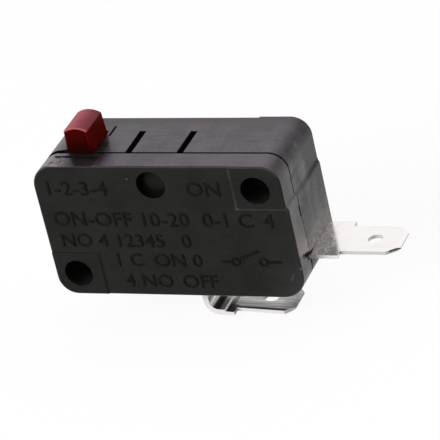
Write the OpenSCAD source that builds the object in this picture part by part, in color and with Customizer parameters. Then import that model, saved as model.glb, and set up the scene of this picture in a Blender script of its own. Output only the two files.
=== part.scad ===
// Snap-action micro switch with a pin plunger, a side tab and a bent bottom tab.
// X runs along the length, Y from the front cover to the rear mounting face, Z up through the plunger.
// The origin is the middle of the two mounting holes, on the plane of the rear pads.

/* [Mounting holes] */
// Distance between the two holes along the length
hole_pitch_x = 22.2; // [21.6:0.1:23.2]
// Distance between the two holes across the height
hole_pitch_z = 10.3; // [9.9:0.1:10.8]
// Diameter of the mounting holes
hole_d = 3.2; // [2.9:0.1:3.4]
// Wall of the pillar round each hole
pillar_wall = 0.8; // [0.7:0.05:0.95]

/* [Housing] */
// Hole centre to the left end
margin_left = 2.65; // [2.5:0.05:3]
// Hole centre to the right end, above the end step
margin_right = 2.9; // [2.7:0.05:3.4]
// Hole centre to the bottom
margin_bottom = 2.6; // [2.4:0.05:2.8]
// Hole centre to the top
margin_top = 2.8; // [2.7:0.05:3.3]
// Depth from the front pads to the rear pads
body_depth = 10.3; // [9.9:0.1:10.9]
// Thickness of the front cover, over its pads
cover_t = 2.85; // [2.4:0.05:3]
// Radius of the two corners beside the holes
corner_r = 2; // [1.6:0.1:2.2]
// Radius of the two other corners
plain_corner_r = 2.7; // [2.2:0.1:3]
// Chamfer round the front and rear edges
edge_chamfer = 0.15; // [0.1:0.05:0.4]
// Side and bottom walls
side_wall = 1.1; // [0.9:0.05:1.2]
// Top wall, which carries the lever slots
top_wall = 1.45; // [1.3:0.05:1.9]
// Rear wall of the case
rear_wall = 0.85; // [0.6:0.05:1]
// Front wall of the cover, over its pads
front_wall = 1.2; // [1.1:0.05:1.5]
// Width of the groove at the parting line
parting_gap = 0.16; // [0.06:0.02:0.2]
// Depth of the groove at the parting line
parting_depth = 0.35; // [0.2:0.05:0.5]
// How far the lower right end stands proud
end_step = 0.25; // [0.1:0.05:0.4]
// Height of the end step above the hole pattern's middle, on the case
end_step_z = 3.15; // [2.4:0.05:3.4]
// How much higher the end step lies on the cover
end_step_rise = 0.2; // [0.1:0.05:0.5]

/* [Pads and marks] */
// Height of the front pads
front_pad_h = 0.1; // [0.05:0.05:0.2]
// Height of the rear pads
rear_pad_h = 0.2; // [0.1:0.05:0.3]
// Upper pad, from the hole centre towards the middle
upper_pad_w = 2.5; // [2:0.1:3]
// Upper pad, from the hole centre downwards
upper_pad_drop = 2.2; // [1.75:0.05:2.4]
// Lower pad, from the hole centre towards the middle
lower_pad_w = 2.85; // [2.2:0.05:3.2]
// Lower pad, from the hole centre upwards
lower_pad_rise = 2.4; // [2:0.05:2.8]
// Diameter of the blind dimple in the cover
dimple_d = 3.2; // [2.6:0.1:3.4]
// Depth of the dimple
dimple_depth = 0.95; // [0.5:0.05:1]
// Round at the dimple's floor
dimple_round = 0.5; // [0.2:0.05:0.6]
// Left end to the dimple and the locating peg behind it
dimple_from_left = 13.4; // [12.9:0.1:13.7]
// Top to the dimple
dimple_from_top = 2.25; // [2.2:0.05:2.6]
// Diameter of the cover's locating peg
peg_d = 1.6; // [1.2:0.1:1.8]
// Wall of the spigots round the holes
spigot_wall = 0.35; // [0.25:0.05:0.4]
// Reach of the spigots behind the parting line
spigot_reach = 0.6; // [0.3:0.1:1]
// Length of the peg behind the parting line
peg_reach = 2.6; // [1.5:0.1:4]

/* [Lever slots] */
// Width of each slot in the top
slot_w = 0.76; // [0.5:0.02:1]
// Length of each slot from the parting line
slot_len = 4.4; // [3:0.1:5.5]
// Depth of each slot
slot_depth = 1.1; // [0.6:0.05:1.2]
// Left end to the first slot
slot_from_left = 10.3; // [10:0.05:10.6]
// First slot to the second
slot_pitch = 5.8; // [5.6:0.05:6.4]
// Width of the fine slit to the right of the plunger
slit_w = 0.14; // [0.08:0.02:0.2]
// Depth of the slit
slit_depth = 0.5; // [0.2:0.05:0.8]
// Parting line to the slit
slit_from_parting = 3.45; // [3:0.05:4]
// Length of the slit
slit_len = 1.9; // [1.5:0.1:2.5]

/* [Plunger] */
// Left end to the plunger's middle
plunger_from_left = 4.75; // [4.6:0.05:4.9]
// Height of the crown above the top at rest
plunger_h = 2.8; // [2.5:0.05:3.2]
// Width at the crown's shoulders
plunger_top_w = 2.7; // [2.4:0.05:2.9]
// Width where it meets the top
plunger_base_w = 3; // [2.9:0.05:3.3]
// Depth of the plunger
plunger_d = 4.1; // [3.8:0.1:4.4]
// Rise of the rounded crown above its shoulders
crown_rise = 0.4; // [0.3:0.02:0.7]
// Chamfer round the two end faces
plunger_chamfer = 0.12; // [0.05:0.01:0.2]
// Gap between the plunger and its opening
plunger_clear = 0.12; // [0.1:0.02:0.3]
// Gap between the plunger and the cover
plunger_front_clear = 0.2; // [0.15:0.05:0.4]
// Width of the retaining flange
flange_w = 4.6; // [4.4:0.1:4.8]
// Thickness of the flange
flange_t = 0.8; // [0.6:0.05:1]
// Radius of the pushing nose
nose_r = 0.6; // [0.4:0.05:0.65]
// Travel of the plunger
plunger_travel = 2; // [1.5:0.1:2]

/* [Terminals] */
// Thickness of the tabs
tab_t = 0.4; // [0.35:0.05:0.6]
// Width of the narrow part of the tabs
tab_w = 4.8; // [4.4:0.1:5.2]
// Length of the narrow part
tab_len = 6.25; // [6:0.05:8]
// Length of the chamfers at the side tab's tip
side_tip_len = 1.35; // [0.8:0.05:1.8]
// Length of the chamfers at the bottom tab's tip
bottom_tip_len = 0.95; // [0.8:0.05:1.8]
// Width of the chamfers at the tip
tip_w = 1; // [0.6:0.1:1.5]
// Lead-in bevel at the tip
tip_bevel = 0.13; // [0.05:0.01:0.16]
// Diameter of the hole in each tab
tab_hole_d = 1.6; // [1.4:0.1:2.2]
// Tip to the hole
tab_hole_from_tip = 3.15; // [3:0.05:3.8]
// Length of the wide part outside the right end
side_neck = 3.05; // [2:0.05:5]
// Lower hole to the upper face of the side tab
side_tab_rise = 1.05; // [0.95:0.05:1.2]
// Stock of the common terminal
stock_t = 0.6; // [0.5:0.05:0.7]
// How far the terminals reach into the cover
terminal_reach = 0.2; // [0.1:0.05:0.3]
// Left end to the common terminal's leg
leg_from_left = 14.85; // [14.5:0.05:15]
// Bottom of the case to the middle of the bottom tab's bend
bend_drop = 2.34; // [2:0.02:3]
// Outer radius of that bend
bend_r = 1.6; // [1.3:0.05:1.9]
// Slope of the bottom tab, in degrees
tab_tilt = 3; // [0:0.5:4]
// Bend's middle to the step from stock to tab thickness
coin_from_bend = 0.6; // [0.4:0.05:1.2]
// Bend's middle to the bottom tab's shoulder
shoulder_from_bend = 1.7; // [1.5:0.1:2.6]

/* [Mechanism] */
// Thickness of the lever and the contact arm
spring_plate_t = 0.3; // [0.2:0.02:0.34]
// Lever pivot to the plunger's middle
lever_reach = 2.95; // [2.9:0.01:3]
// Lever pivot to its spring bar
lever_spring_reach = 4.75; // [4.7:0.01:4.85]
// Upward angle of the lever at rest, in degrees
lever_rest = 17; // [16:0.5:18]
// Lever pivot above the common terminal's limb
lever_pivot_h = 1.8; // [1.7:0.02:1.9]
// Lever pivot to the arm pivot
pivot_pitch = 8.95; // [8.9:0.05:9.2]
// Arm pivot above the limb
arm_pivot_h = 1; // [0.96:0.02:1.1]
// Arm pivot to the contacts
contact_reach = 11.5; // [11.2:0.05:11.7]
// Arm pivot to the spring bar on the arm
arm_spring_reach = 7.5; // [7.2:0.05:7.8]
// Radius of the pivot edges
pivot_r = 0.25; // [0.2:0.01:0.28]
// Running gap round the pivots
pivot_clear = 0.05; // [0.03:0.01:0.08]
// Wire of the tension spring
wire_d = 0.3; // [0.2:0.02:0.32]
// Middle radius of the spring's coil
coil_r = 0.775; // [0.6:0.025:0.85]
// Number of turns
coil_turns = 16; // [8:1:18]
// Middle radius of the spring's end hooks
hook_r = 0.65; // [0.6:0.01:0.68]
// Play of the spring's hook on the lever
hook_play = 0.18; // [0.1:0.01:0.2]
// Radius of the fixed contact
fixed_contact_r = 1.5; // [1.2:0.05:1.7]
// Height of the fixed contact
fixed_contact_h = 0.85; // [0.65:0.01:0.87]
// Radius of the moving contact
moving_contact_r = 1.3; // [1:0.05:1.5]
// Height of the moving contact
moving_contact_h = 0.55; // [0.4:0.01:0.57]
// Width of the rest stop plate
stop_w = 4.5; // [3.5:0.1:5.5]
// Rise of the rest stop from the arm to its seat
stop_rise = 0.95; // [0.8:0.05:1.1]

/* [Hidden] */
$fn = 64;

fit_clear = 0.05;
press_clear = 0.02;
eps = 0.1;

// Outline of the housing
hole_x = hole_pitch_x / 2;
hole_z = hole_pitch_z / 2;
left_x = -hole_x - margin_left;
right_x = hole_x + margin_right;
end_x = right_x + end_step;
bottom_z = -hole_z - margin_bottom;
top_z = hole_z + margin_top;
front_y = -body_depth;
face_y = front_y + front_pad_h;
rear_y = -rear_pad_h;
parting_y = front_y + cover_t;
cavity_rear_y = rear_y - rear_wall;
cavity_left = left_x + side_wall;
cavity_right = right_x - side_wall;
cavity_bottom = bottom_z + side_wall;
cavity_top = top_z - top_wall;
cavity_r = corner_r - side_wall;
pillar_r = hole_d / 2 + pillar_wall;
end_corner_r = edge_chamfer + 0.45;
pad_r = rear_pad_h + 2 * eps;
cover_hollow_y = front_y + front_wall;

// Marks on the front and the top
dimple_x = left_x + dimple_from_left;
dimple_z = top_z - dimple_from_top;
peg_boss_r = peg_d / 2 + 0.8;
slot_x = left_x + slot_from_left;
slit_reach = 2.04;
lip_reach = 2.45;
lip_back = 0.72;
lip_h = 0.12;
lip_ease = 0.7;
mouth_w = 1.5;
mouth_d = 0.7;
mouth_neck = 0.2;
corner_gap = 0.6;
corner_gap_drop = 1.05;
notch_z = 1.2;
notch_h = 1.3;
notch_w = 0.15;
tab_mouth_rise = 0.32;
tab_mouth_d = 0.75;
tab_mouth_run = 1.3;
tight_top = -0.4;
tight_clear = 0.02;
spigot_r = hole_d / 2 + spigot_wall;

// Terminals lie between the rear wall and the cover's rim
terminal_front = parting_y - terminal_reach;
terminal_w = cavity_rear_y - fit_clear - terminal_front;
terminal_y = terminal_front + terminal_w / 2;
side_tab_top = -hole_z + side_tab_rise;
side_tab_bottom = side_tab_top - tab_t;
leg_x = left_x + leg_from_left;
bend_x = leg_x + bend_r;
bend_z = bottom_z - bend_drop;
coin_run = 0.12;
fold_r = 0.3;
limb_bottom = -hole_z + pillar_r + fit_clear;
limb_top = limb_bottom + stock_t;

// Pivots and spring ends, at rest
plunger_x = left_x + plunger_from_left;
plunger_y = parting_y + plunger_front_clear + plunger_d / 2;
lever_pivot = [plunger_x - lever_reach, limb_top + lever_pivot_h];
arm_pivot = [lever_pivot[0] + pivot_pitch, limb_top + arm_pivot_h];
lever_bar = lever_pivot + lever_spring_reach * [cos(lever_rest), sin(lever_rest)];
arm_bar = [arm_pivot[0] + arm_spring_reach, arm_pivot[1]];
bar_r = 0.2;
hook_window = 0.8;
hook_window_w = 1;
post_x = lever_pivot[0] + pivot_clear;
post_w = 3;
post_top = lever_pivot[1] + 0.6;
ear_t = 0.6;
ear_left = 0.9;
ear_right = 0.4;
ear_top = 0.7;
fork_w = 2 * (coil_r + wire_d / 2) + 0.85;
fork_drop = 0.6;
contact_x = arm_pivot[0] + contact_reach;
shank_r = 0.6;
rivet_head_h = 0.25;
rivet_head_r = 0.9;
stop_bottom = arm_pivot[1] + spring_plate_t / 2 + rivet_head_h + fit_clear;
stop_turn = contact_x + rivet_head_r + 0.8;
stop_flat = stop_turn + stop_rise;
stop_seat = 0.6;
stop_rib = 1.4;

// Lever and arm, seen from above
rail_in = post_w / 2 + 0.2;
lever_half = 2.5;
rail_len = 1.05;
lever_wide_end = 3.4;
lever_nose_half = 0.95;
arm_half = 2.4;
arm_tip_half = 1.7;
arm_start_half = fork_w / 2 + 0.2;

// Plunger heights
crown_z = top_z + plunger_h;
flange_top = cavity_top - 0.1;
flange_bottom = flange_top - flange_t;
nose_gap = 0.03;
nose_z = lever_pivot[1] + (nose_r + spring_plate_t / 2 + nose_gap) / cos(lever_rest)
         + lever_reach * tan(lever_rest);
guide_t = 0.55;

// Spring path
hook_open = 20;
hook_steps = 14;
turn_steps = 10;
wire_sides = 6;
tail_len = 1.5;

// Extrudes a shape drawn in X and Z from y0 to y1.
module along_y(y0, y1) {
    translate([0, y1, 0])
        rotate([90, 0, 0])
            linear_extrude(y1 - y0)
                children();
}

// A round bar or bore along Y.
module rod(x, z, r, y0, y1) {
    translate([x, y0, z])
        rotate([-90, 0, 0])
            cylinder(r = r, h = y1 - y0);
}

module block(x0, x1, y0, y1, z0, z1) {
    translate([x0, y0, z0])
        cube([x1 - x0, y1 - y0, z1 - z0]);
}

// A rectangle with round corners.
module round_rect(x0, z0, x1, z1, r) {
    translate([x0 + r, z0])
        square([x1 - x0 - 2 * r, z1 - z0]);
    translate([x0, z0 + r])
        square([x1 - x0, z1 - z0 - 2 * r]);
    for (x = [x0 + r, x1 - r], z = [z0 + r, z1 - r])
        translate([x, z])
            circle(r);
}

// Section of a chamfered edge strip: half outline from a to b over a thickness t.
function chamfered(a, b, t, front, rear) = [
    [a + front, 0], [b - front, 0], if (front > 0) [b, front],
    if (rear > 0) [b, t - rear], [b - rear, t], [a + rear, t],
    if (rear > 0) [a, t - rear], if (front > 0) [a, front]];

function turned(r, t, front, rear) = [
    [0, 0], [r - front, 0], if (front > 0) [r, front],
    if (rear > 0) [r, t - rear], [r - rear, t], [0, t]];

// An upright slab with round corners and chamfered front and rear edges.
module slab(x0, z0, x1, z1, r, y0, y1, front, rear) {
    t = y1 - y0;
    translate([x1 - r, y0, 0])
        rotate([0, -90, 0])
            linear_extrude(x1 - x0 - 2 * r)
                polygon(chamfered(z0, z1, t, front, rear));
    translate([0, y0, z0 + r])
        linear_extrude(z1 - z0 - 2 * r)
            polygon(chamfered(x0, x1, t, front, rear));
    for (x = [x0 + r, x1 - r], z = [z0 + r, z1 - r])
        translate([x, y0, z])
            rotate([-90, 0, 0])
                rotate_extrude()
                    polygon(turned(r, t, front, rear));
}

// Outer form of the housing: a lapped slab for each corner, with the lower right end standing proud.
module housing(y0, y1, front, rear, step_z) {
    lap = plain_corner_r + 2 * eps;
    slab(left_x, bottom_z, lap, lap, corner_r, y0, y1, front, rear);
    slab(-lap, -lap, right_x, top_z, corner_r, y0, y1, front, rear);
    slab(left_x, -lap, lap, top_z, plain_corner_r, y0, y1, front, rear);
    slab(-lap, bottom_z, end_x, lap, plain_corner_r, y0, y1, front, rear);
    slab(hole_x - end_corner_r, -hole_z + corner_r, end_x, step_z, end_corner_r, y0, y1, front, rear);
}

// The two corner pads round the holes, as a mask with bevelled edges.
module pads(y0, y1, front, rear) {
    slab(hole_x - upper_pad_w, hole_z - upper_pad_drop, end_x + pad_r, top_z + pad_r, pad_r,
         y0, y1, front, rear);
    slab(left_x - pad_r, bottom_z - pad_r, -hole_x + lower_pad_w, -hole_z + lower_pad_rise, pad_r,
         y0, y1, front, rear);
}

module mounting_holes() {
    for (side = [-1, 1])
        rod(side * hole_x, side * hole_z, hole_d / 2, front_y - eps, eps);
}

module pillars(y0, y1) {
    for (side = [-1, 1])
        rod(side * hole_x, side * hole_z, pillar_r, y0, y1);
}

// Guide ribs, peg boss, terminal seats and pillars inside the case.
module case_ribs() {
    pillars(parting_y, cavity_rear_y + eps);
    for (side = [-1, 1])
        translate([plunger_x + side * (flange_w / 2 + fit_clear + guide_t / 2), 0, 0])
            block(-guide_t / 2, guide_t / 2, parting_y, cavity_rear_y + eps,
                  flange_bottom - plunger_travel, cavity_top + eps);
    rod(dimple_x, dimple_z, peg_boss_r, parting_y, cavity_rear_y + eps);
    block(contact_x + fixed_contact_r + 0.6, cavity_right + eps, parting_y, cavity_rear_y + eps,
          cavity_bottom - eps, side_tab_bottom - fit_clear);
    block(stop_flat + fit_clear, cavity_right + eps, parting_y, cavity_rear_y + eps,
          stop_bottom + stop_rise - stop_rib, stop_bottom + stop_rise + tab_t + stop_rib);
    for (x = [leg_x - fit_clear - 1.4, leg_x + stock_t + fit_clear])
        block(x, x + 1.4, parting_y, cavity_rear_y + eps, cavity_bottom - eps, cavity_bottom + 2);
}

// Slots through the walls for the terminals, and the blind seat of the rest stop.
module terminal_slots() {
    block(cavity_right - eps, end_x + eps, terminal_front - fit_clear, cavity_rear_y,
          side_tab_bottom - press_clear, side_tab_top + press_clear);
    block(leg_x - press_clear, leg_x + stock_t + press_clear, terminal_front - fit_clear, cavity_rear_y,
          bottom_z - eps, cavity_bottom + eps);
    translate([0, terminal_y, stop_bottom + stop_rise])
        block(stop_flat, cavity_right + stop_seat, -stop_w / 2 - fit_clear,
              stop_w / 2 + fit_clear, -fit_clear, tab_t + fit_clear);
}

// Opening for the plunger with a mouth on its left, the two lever slots and the fine slit.
module top_cuts() {
    half = plunger_base_w / 2 + plunger_clear;
    block(plunger_x - half, plunger_x + half, parting_y - eps,
          plunger_y + plunger_d / 2 + plunger_clear, cavity_top - eps, top_z + eps);
    for (i = [0, 1])
        translate([slot_x + i * slot_pitch, 0, 0])
            block(-slot_w / 2, slot_w / 2, parting_y - eps, parting_y + slot_len,
                  top_z - slot_depth, top_z + eps);
    translate([plunger_x + slit_reach, parting_y + slit_from_parting, 0])
        block(-slit_w / 2, slit_w / 2, 0, slit_len, top_z - slit_depth, top_z + eps);
    translate([plunger_x - half, parting_y, top_z - slit_depth])
        linear_extrude(slit_depth + eps)
            polygon([[-mouth_w, mouth_neck], [-mouth_w, -eps], [eps, -eps], [eps, mouth_d], [0, mouth_d]]);
    corner_run = plunger_x - half - mouth_w - left_x + eps;
    translate([plunger_x - half - mouth_w, parting_y, top_z - corner_gap_drop])
        linear_extrude(corner_gap_drop + eps)
            polygon([[-corner_run, -eps], [eps, -eps], [eps, mouth_neck], [-corner_run, corner_gap]]);
}

module case() {
    color("#2c2b2d")
        difference() {
            union() {
                difference() {
                    union() {
                        housing(parting_y, rear_y, 0, edge_chamfer, end_step_z);
                        intersection() {
                            housing(parting_y, 0, 0, edge_chamfer, end_step_z);
                            pads(rear_y - 2 * edge_chamfer, eps, 0, rear_pad_h + eps);
                        }
                    }
                    along_y(parting_y - eps, cavity_rear_y)
                        round_rect(cavity_left, cavity_bottom, cavity_right, cavity_top, cavity_r);
                }
                intersection() {
                    case_ribs();
                    along_y(parting_y - eps, rear_y)
                        round_rect(cavity_left - side_wall / 2, cavity_bottom - side_wall / 2,
                                   cavity_right + side_wall / 2, cavity_top + side_wall / 2, cavity_r);
                }
            }
            mounting_holes();
            terminal_slots();
            top_cuts();
            tab_mouth();
            rod(dimple_x, dimple_z, peg_d / 2 + fit_clear, parting_y - eps, parting_y + peg_reach + fit_clear);
            for (side = [-1, 1])
                rod(side * hole_x, side * hole_z, spigot_r + fit_clear, parting_y - eps,
                    parting_y + spigot_reach + fit_clear);
        }
}

// Blind dimple with a round at its floor.
module dimple() {
    r = dimple_d / 2;
    translate([dimple_x, face_y, dimple_z])
        rotate([-90, 0, 0])
            rotate_extrude() {
                translate([0, -eps])
                    square([r, dimple_depth - dimple_round + eps]);
                square([r - dimple_round, dimple_depth]);
                intersection() {
                    translate([r - dimple_round, dimple_depth - dimple_round])
                        circle(dimple_round);
                    square([r, dimple_depth]);
                }
            }
}

// The gap that is left round the front of the side tab where it leaves the housing.
module tab_mouth() {
    translate([right_x - parting_depth, 0, 0])
        rotate([90, 0, 90])
            linear_extrude(end_x + eps - right_x + parting_depth)
                polygon([[parting_y - tab_mouth_d, side_tab_bottom + tab_t / 4],
                         [parting_y - tab_mouth_d, side_tab_top - tab_t / 4],
                         [parting_y, side_tab_top + tab_mouth_rise],
                         [parting_y + tab_mouth_run, side_tab_top], [parting_y, side_tab_bottom]]);
}

module cover() {
    groove_y = parting_y - parting_gap;
    step_z = end_step_z + end_step_rise;
    color("#2c2b2d")
        difference() {
            union() {
                difference() {
                    union() {
                        housing(face_y, groove_y, edge_chamfer, 0, step_z);
                        intersection() {
                            housing(front_y, groove_y, edge_chamfer, 0, step_z);
                            pads(front_y - eps, face_y + 2 * edge_chamfer, front_pad_h + eps, 0);
                        }
                        along_y(groove_y - eps, parting_y)
                            round_rect(left_x + parting_depth, bottom_z + parting_depth,
                                       right_x - parting_depth, top_z - parting_depth,
                                       plain_corner_r - parting_depth);
                    }
                    along_y(cover_hollow_y, parting_y + eps)
                        round_rect(cavity_left, cavity_bottom, cavity_right, cavity_top, cavity_r);
                }
                block(right_x - parting_depth - eps, end_x - tight_clear, groove_y - eps, parting_y - tight_clear,
                      side_tab_top, tight_top);
                pillars(cover_hollow_y - eps, parting_y);
                rod(dimple_x, dimple_z, peg_boss_r, cover_hollow_y - eps, parting_y);
                rod(dimple_x, dimple_z, peg_d / 2, parting_y - eps, parting_y + peg_reach);
                for (side = [-1, 1])
                    rod(side * hole_x, side * hole_z, spigot_r, parting_y - eps, parting_y + spigot_reach);
            }
            mounting_holes();
            terminal_slots();
            dimple();
            along_y(front_y - eps, parting_y - lip_back)
                translate([plunger_x, top_z])
                    polygon([[-lip_reach - lip_ease, eps], [-lip_reach, -lip_h], [lip_reach, -lip_h],
                             [lip_reach, eps]]);
            block(right_x - parting_depth, end_x + eps, groove_y - notch_w, parting_y,
                  notch_z - notch_h / 2, notch_z + notch_h / 2);
            tab_mouth();
        }
}

// Section of the plunger's head, pulled in by an inset.
module plunger_section(inset) {
    shoulder_z = crown_z - crown_rise;
    crown_r = (pow(plunger_top_w / 2, 2) + pow(crown_rise, 2)) / (2 * crown_rise);
    base_z = top_z - 0.3;
    intersection() {
        polygon([[-plunger_base_w / 2 + inset, base_z], [plunger_base_w / 2 - inset, base_z],
                 [plunger_base_w / 2 - inset, top_z], [plunger_top_w / 2 - inset, shoulder_z],
                 [plunger_top_w / 2 - inset, crown_z], [-plunger_top_w / 2 + inset, crown_z],
                 [-plunger_top_w / 2 + inset, shoulder_z], [-plunger_base_w / 2 + inset, top_z]]);
        translate([0, crown_z - crown_r])
            circle(crown_r - inset, $fn = 160);
    }
}

module plunger() {
    half_d = plunger_d / 2;
    color("#8c2a30")
        translate([plunger_x, plunger_y, 0]) {
            hull() {
                along_y(-half_d, half_d)
                    plunger_section(plunger_chamfer);
                along_y(-half_d + plunger_chamfer, half_d - plunger_chamfer)
                    plunger_section(0);
            }
            block(-plunger_base_w / 2, plunger_base_w / 2, -half_d, half_d, flange_bottom, top_z - 0.2);
            block(-flange_w / 2, flange_w / 2, -half_d, half_d + 0.5, flange_bottom, flange_top);
            block(-nose_r, nose_r, -half_d + 0.3, half_d - 0.3, nose_z, flange_bottom + eps);
            rod(0, nose_z, nose_r, -half_d + 0.3, half_d - 0.3);
        }
}

// The narrow blade of a tab seen from above, with its shoulder at the origin, pointing along +X.
module blade_plan(tip_len) {
    polygon([[-eps, -tab_w / 2], [tab_len - tip_len, -tab_w / 2], [tab_len, -tab_w / 2 + tip_w],
             [tab_len, tab_w / 2 - tip_w], [tab_len - tip_len, tab_w / 2], [-eps, tab_w / 2]]);
}

module tab_hole_plan() {
    translate([tab_len - tab_hole_from_tip, 0])
        circle(tab_hole_d / 2);
}

// Bevelled end of a tab in side section, with its tip at x.
function tip_section(x) = [
    [x - 3 * tip_bevel, 0], [x, tip_bevel], [x, tab_t - tip_bevel], [x - 3 * tip_bevel, tab_t]];

// A straight tab with a wide neck behind its shoulder.
module tab(neck) {
    intersection() {
        linear_extrude(tab_t)
            difference() {
                union() {
                    translate([-neck, -terminal_w / 2])
                        square([neck, terminal_w]);
                    blade_plan(side_tip_len);
                }
                tab_hole_plan();
            }
        along_y(-terminal_w, terminal_w)
            polygon(concat([[-neck, 0]], tip_section(tab_len), [[-neck, tab_t]]));
    }
}

// What is cut from a strip beyond the shoulder to leave the blade and its hole.
module tab_waste() {
    difference() {
        translate([0, -terminal_w])
            square([2 * tab_len, 2 * terminal_w]);
        blade_plan(bottom_tip_len);
    }
    tab_hole_plan();
}

// A quarter of a bent strip round the origin, in the first quadrant.
module fold(inner, t) {
    intersection() {
        difference() {
            circle(inner + t);
            circle(inner);
        }
        square(inner + t);
    }
}

// Side section of the common terminal, from the lever post down round the bend to the tip of the tab.
module common_section() {
    translate([post_x, limb_top + fold_r])
        square([stock_t, post_top - limb_top - fold_r]);
    translate([post_x + stock_t + fold_r, limb_top + fold_r])
        rotate(180)
            fold(fold_r, stock_t);
    translate([post_x + stock_t + fold_r, limb_bottom])
        square([leg_x - post_x - stock_t - 2 * fold_r, stock_t]);
    translate([leg_x - fold_r, limb_bottom - fold_r])
        fold(fold_r, stock_t);
    translate([leg_x, bend_z])
        square([stock_t, limb_bottom - fold_r - bend_z]);
    translate([bend_x, bend_z]) {
        reach = 2 * bend_r;
        intersection() {
            difference() {
                circle(bend_r);
                circle(bend_r - stock_t);
            }
            polygon([[0, 0], [-reach, 0], [-reach, -reach],
                     [-reach * sin(tab_tilt), -reach * cos(tab_tilt)]]);
        }
        rotate(-tab_tilt)
            translate([0, -bend_r])
                polygon(concat([[0, 0]], tip_section(shoulder_from_bend + tab_len),
                               [[coin_from_bend + coin_run, tab_t], [coin_from_bend, stock_t], [0, stock_t]]));
    }
}

// Side section of an ear with the notch that the contact arm bears in.
module ear_section() {
    seat_r = pivot_r + pivot_clear;
    translate(arm_pivot)
        difference() {
            translate([-ear_left, limb_bottom - arm_pivot[1]])
                square([ear_left + ear_right, arm_pivot[1] - limb_bottom + ear_top]);
            circle(seat_r);
            translate([0, -seat_r])
                square([2 * ear_right, 2 * seat_r]);
        }
}

module common_terminal() {
    half = terminal_w / 2;
    color("#d6d3cb")
        translate([0, terminal_y, 0])
            difference() {
                union() {
                    along_y(-half, half)
                        common_section();
                    for (y = [-half, half - ear_t])
                        along_y(y, y + ear_t)
                            ear_section();
                }
                block(lever_bar[0] - 1.3, leg_x + stock_t + eps, -fork_w / 2, fork_w / 2,
                      limb_bottom - fork_drop, limb_top + eps);
                for (side = [-1, 1])
                    translate([0, side * half, 0])
                        block(post_x - eps, post_x + stock_t + eps, -half + post_w / 2, half - post_w / 2,
                              limb_top + fold_r, post_top + eps);
                rod(lever_pivot[0], lever_pivot[1], pivot_r + pivot_clear, -post_w, post_w);
                translate([bend_x, 0, bend_z])
                    rotate([0, tab_tilt, 0])
                        translate([shoulder_from_bend, 0, -bend_r - tab_t])
                            linear_extrude(3 * tab_t)
                                tab_waste();
            }
}

module normally_open_terminal() {
    inner_end = contact_x - fixed_contact_r - 0.3;
    shoulder_x = end_x + side_neck;
    color("#d6d3cb")
        translate([0, terminal_y, side_tab_bottom])
            difference() {
                translate([shoulder_x, 0, 0])
                    tab(shoulder_x - inner_end);
                translate([contact_x, 0, -eps])
                    cylinder(r = shank_r + 0.02, h = tab_t + 2 * eps);
            }
}

// A contact rivet: flat head of height h above z = 0, shank through a plate and a closing head below.
module contact_rivet(r, h, plate_t) {
    cylinder(r = r, h = h);
    translate([0, 0, -plate_t - rivet_head_h])
        cylinder(r = shank_r, h = plate_t + rivet_head_h + eps);
    translate([0, 0, -plate_t - rivet_head_h])
        cylinder(r = rivet_head_r, h = rivet_head_h);
}

module fixed_contact() {
    color("#c9c2b4")
        translate([contact_x, terminal_y, side_tab_top])
            contact_rivet(fixed_contact_r, fixed_contact_h, tab_t);
}

// A joggled plate: the low end stops the arm and the high end sits in the right wall.
module rest_stop() {
    low = contact_x - rivet_head_r - 0.2;
    end = cavity_right + stop_seat - fit_clear;
    back = tab_t * tan(22.5);
    color("#cfc9bd")
        translate([0, terminal_y, stop_bottom])
            along_y(-stop_w / 2, stop_w / 2)
                polygon([[low, 0], [stop_turn, 0], [stop_flat, stop_rise], [end, stop_rise],
                         [end, stop_rise + tab_t], [stop_flat - back, stop_rise + tab_t],
                         [stop_turn - back, tab_t], [low, tab_t]]);
}

// The lever seen from above: two rails past the post, a plate under the nose and a hooked nose.
module lever_plan() {
    difference() {
        union() {
            for (side = [-1, 1])
                translate([0, side * (rail_in + lever_half) / 2])
                    square([2 * rail_len + eps, lever_half - rail_in], center = true);
            translate([rail_len, -lever_half])
                square([lever_wide_end - rail_len, 2 * lever_half]);
            translate([lever_wide_end - eps, -lever_nose_half])
                square([lever_spring_reach + bar_r - lever_wide_end + eps, 2 * lever_nose_half]);
        }
        translate([-2 * rail_len, -2 * lever_half])
            square([2 * rail_len, 4 * lever_half]);
        translate([lever_spring_reach - bar_r - hook_window, -hook_window_w / 2])
            square([hook_window + 3 * bar_r, hook_window_w]);
    }
}

module actuating_lever() {
    color("#b9b3a6")
        translate([lever_pivot[0], terminal_y, lever_pivot[1]])
            rotate([0, -lever_rest, 0]) {
                translate([0, 0, -spring_plate_t / 2])
                    linear_extrude(spring_plate_t)
                        lever_plan();
                rod(0, 0, pivot_r, -lever_half, lever_half);
                rod(lever_spring_reach, 0, bar_r, -lever_nose_half, lever_nose_half);
            }
}

// The arm seen from above: a fork round the spring that runs out to the contact.
module arm_plan() {
    difference() {
        union() {
            polygon([[0, -arm_half], [arm_spring_reach + 1, -arm_half], [contact_reach, -arm_tip_half],
                     [contact_reach, arm_tip_half], [arm_spring_reach + 1, arm_half], [0, arm_half]]);
            translate([contact_reach, 0])
                circle(arm_tip_half);
        }
        translate([-eps, -fork_w / 2])
            square([arm_spring_reach - bar_r + eps, fork_w]);
        translate([arm_spring_reach - 2 * bar_r, -hook_window_w / 2])
            square([hook_window + 3 * bar_r, hook_window_w]);
        translate([contact_reach, 0])
            circle(shank_r + 0.02);
    }
}

module contact_arm() {
    lug_end = terminal_w / 2 - fit_clear;
    color("#c58f5c")
        translate([arm_pivot[0], terminal_y, arm_pivot[1]]) {
            translate([0, 0, -spring_plate_t / 2])
                linear_extrude(spring_plate_t)
                    arm_plan();
            rod(0, 0, pivot_r, -lug_end, -arm_start_half);
            rod(0, 0, pivot_r, arm_start_half, lug_end);
            rod(arm_spring_reach, 0, bar_r, -fork_w / 2, fork_w / 2);
        }
}

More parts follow.
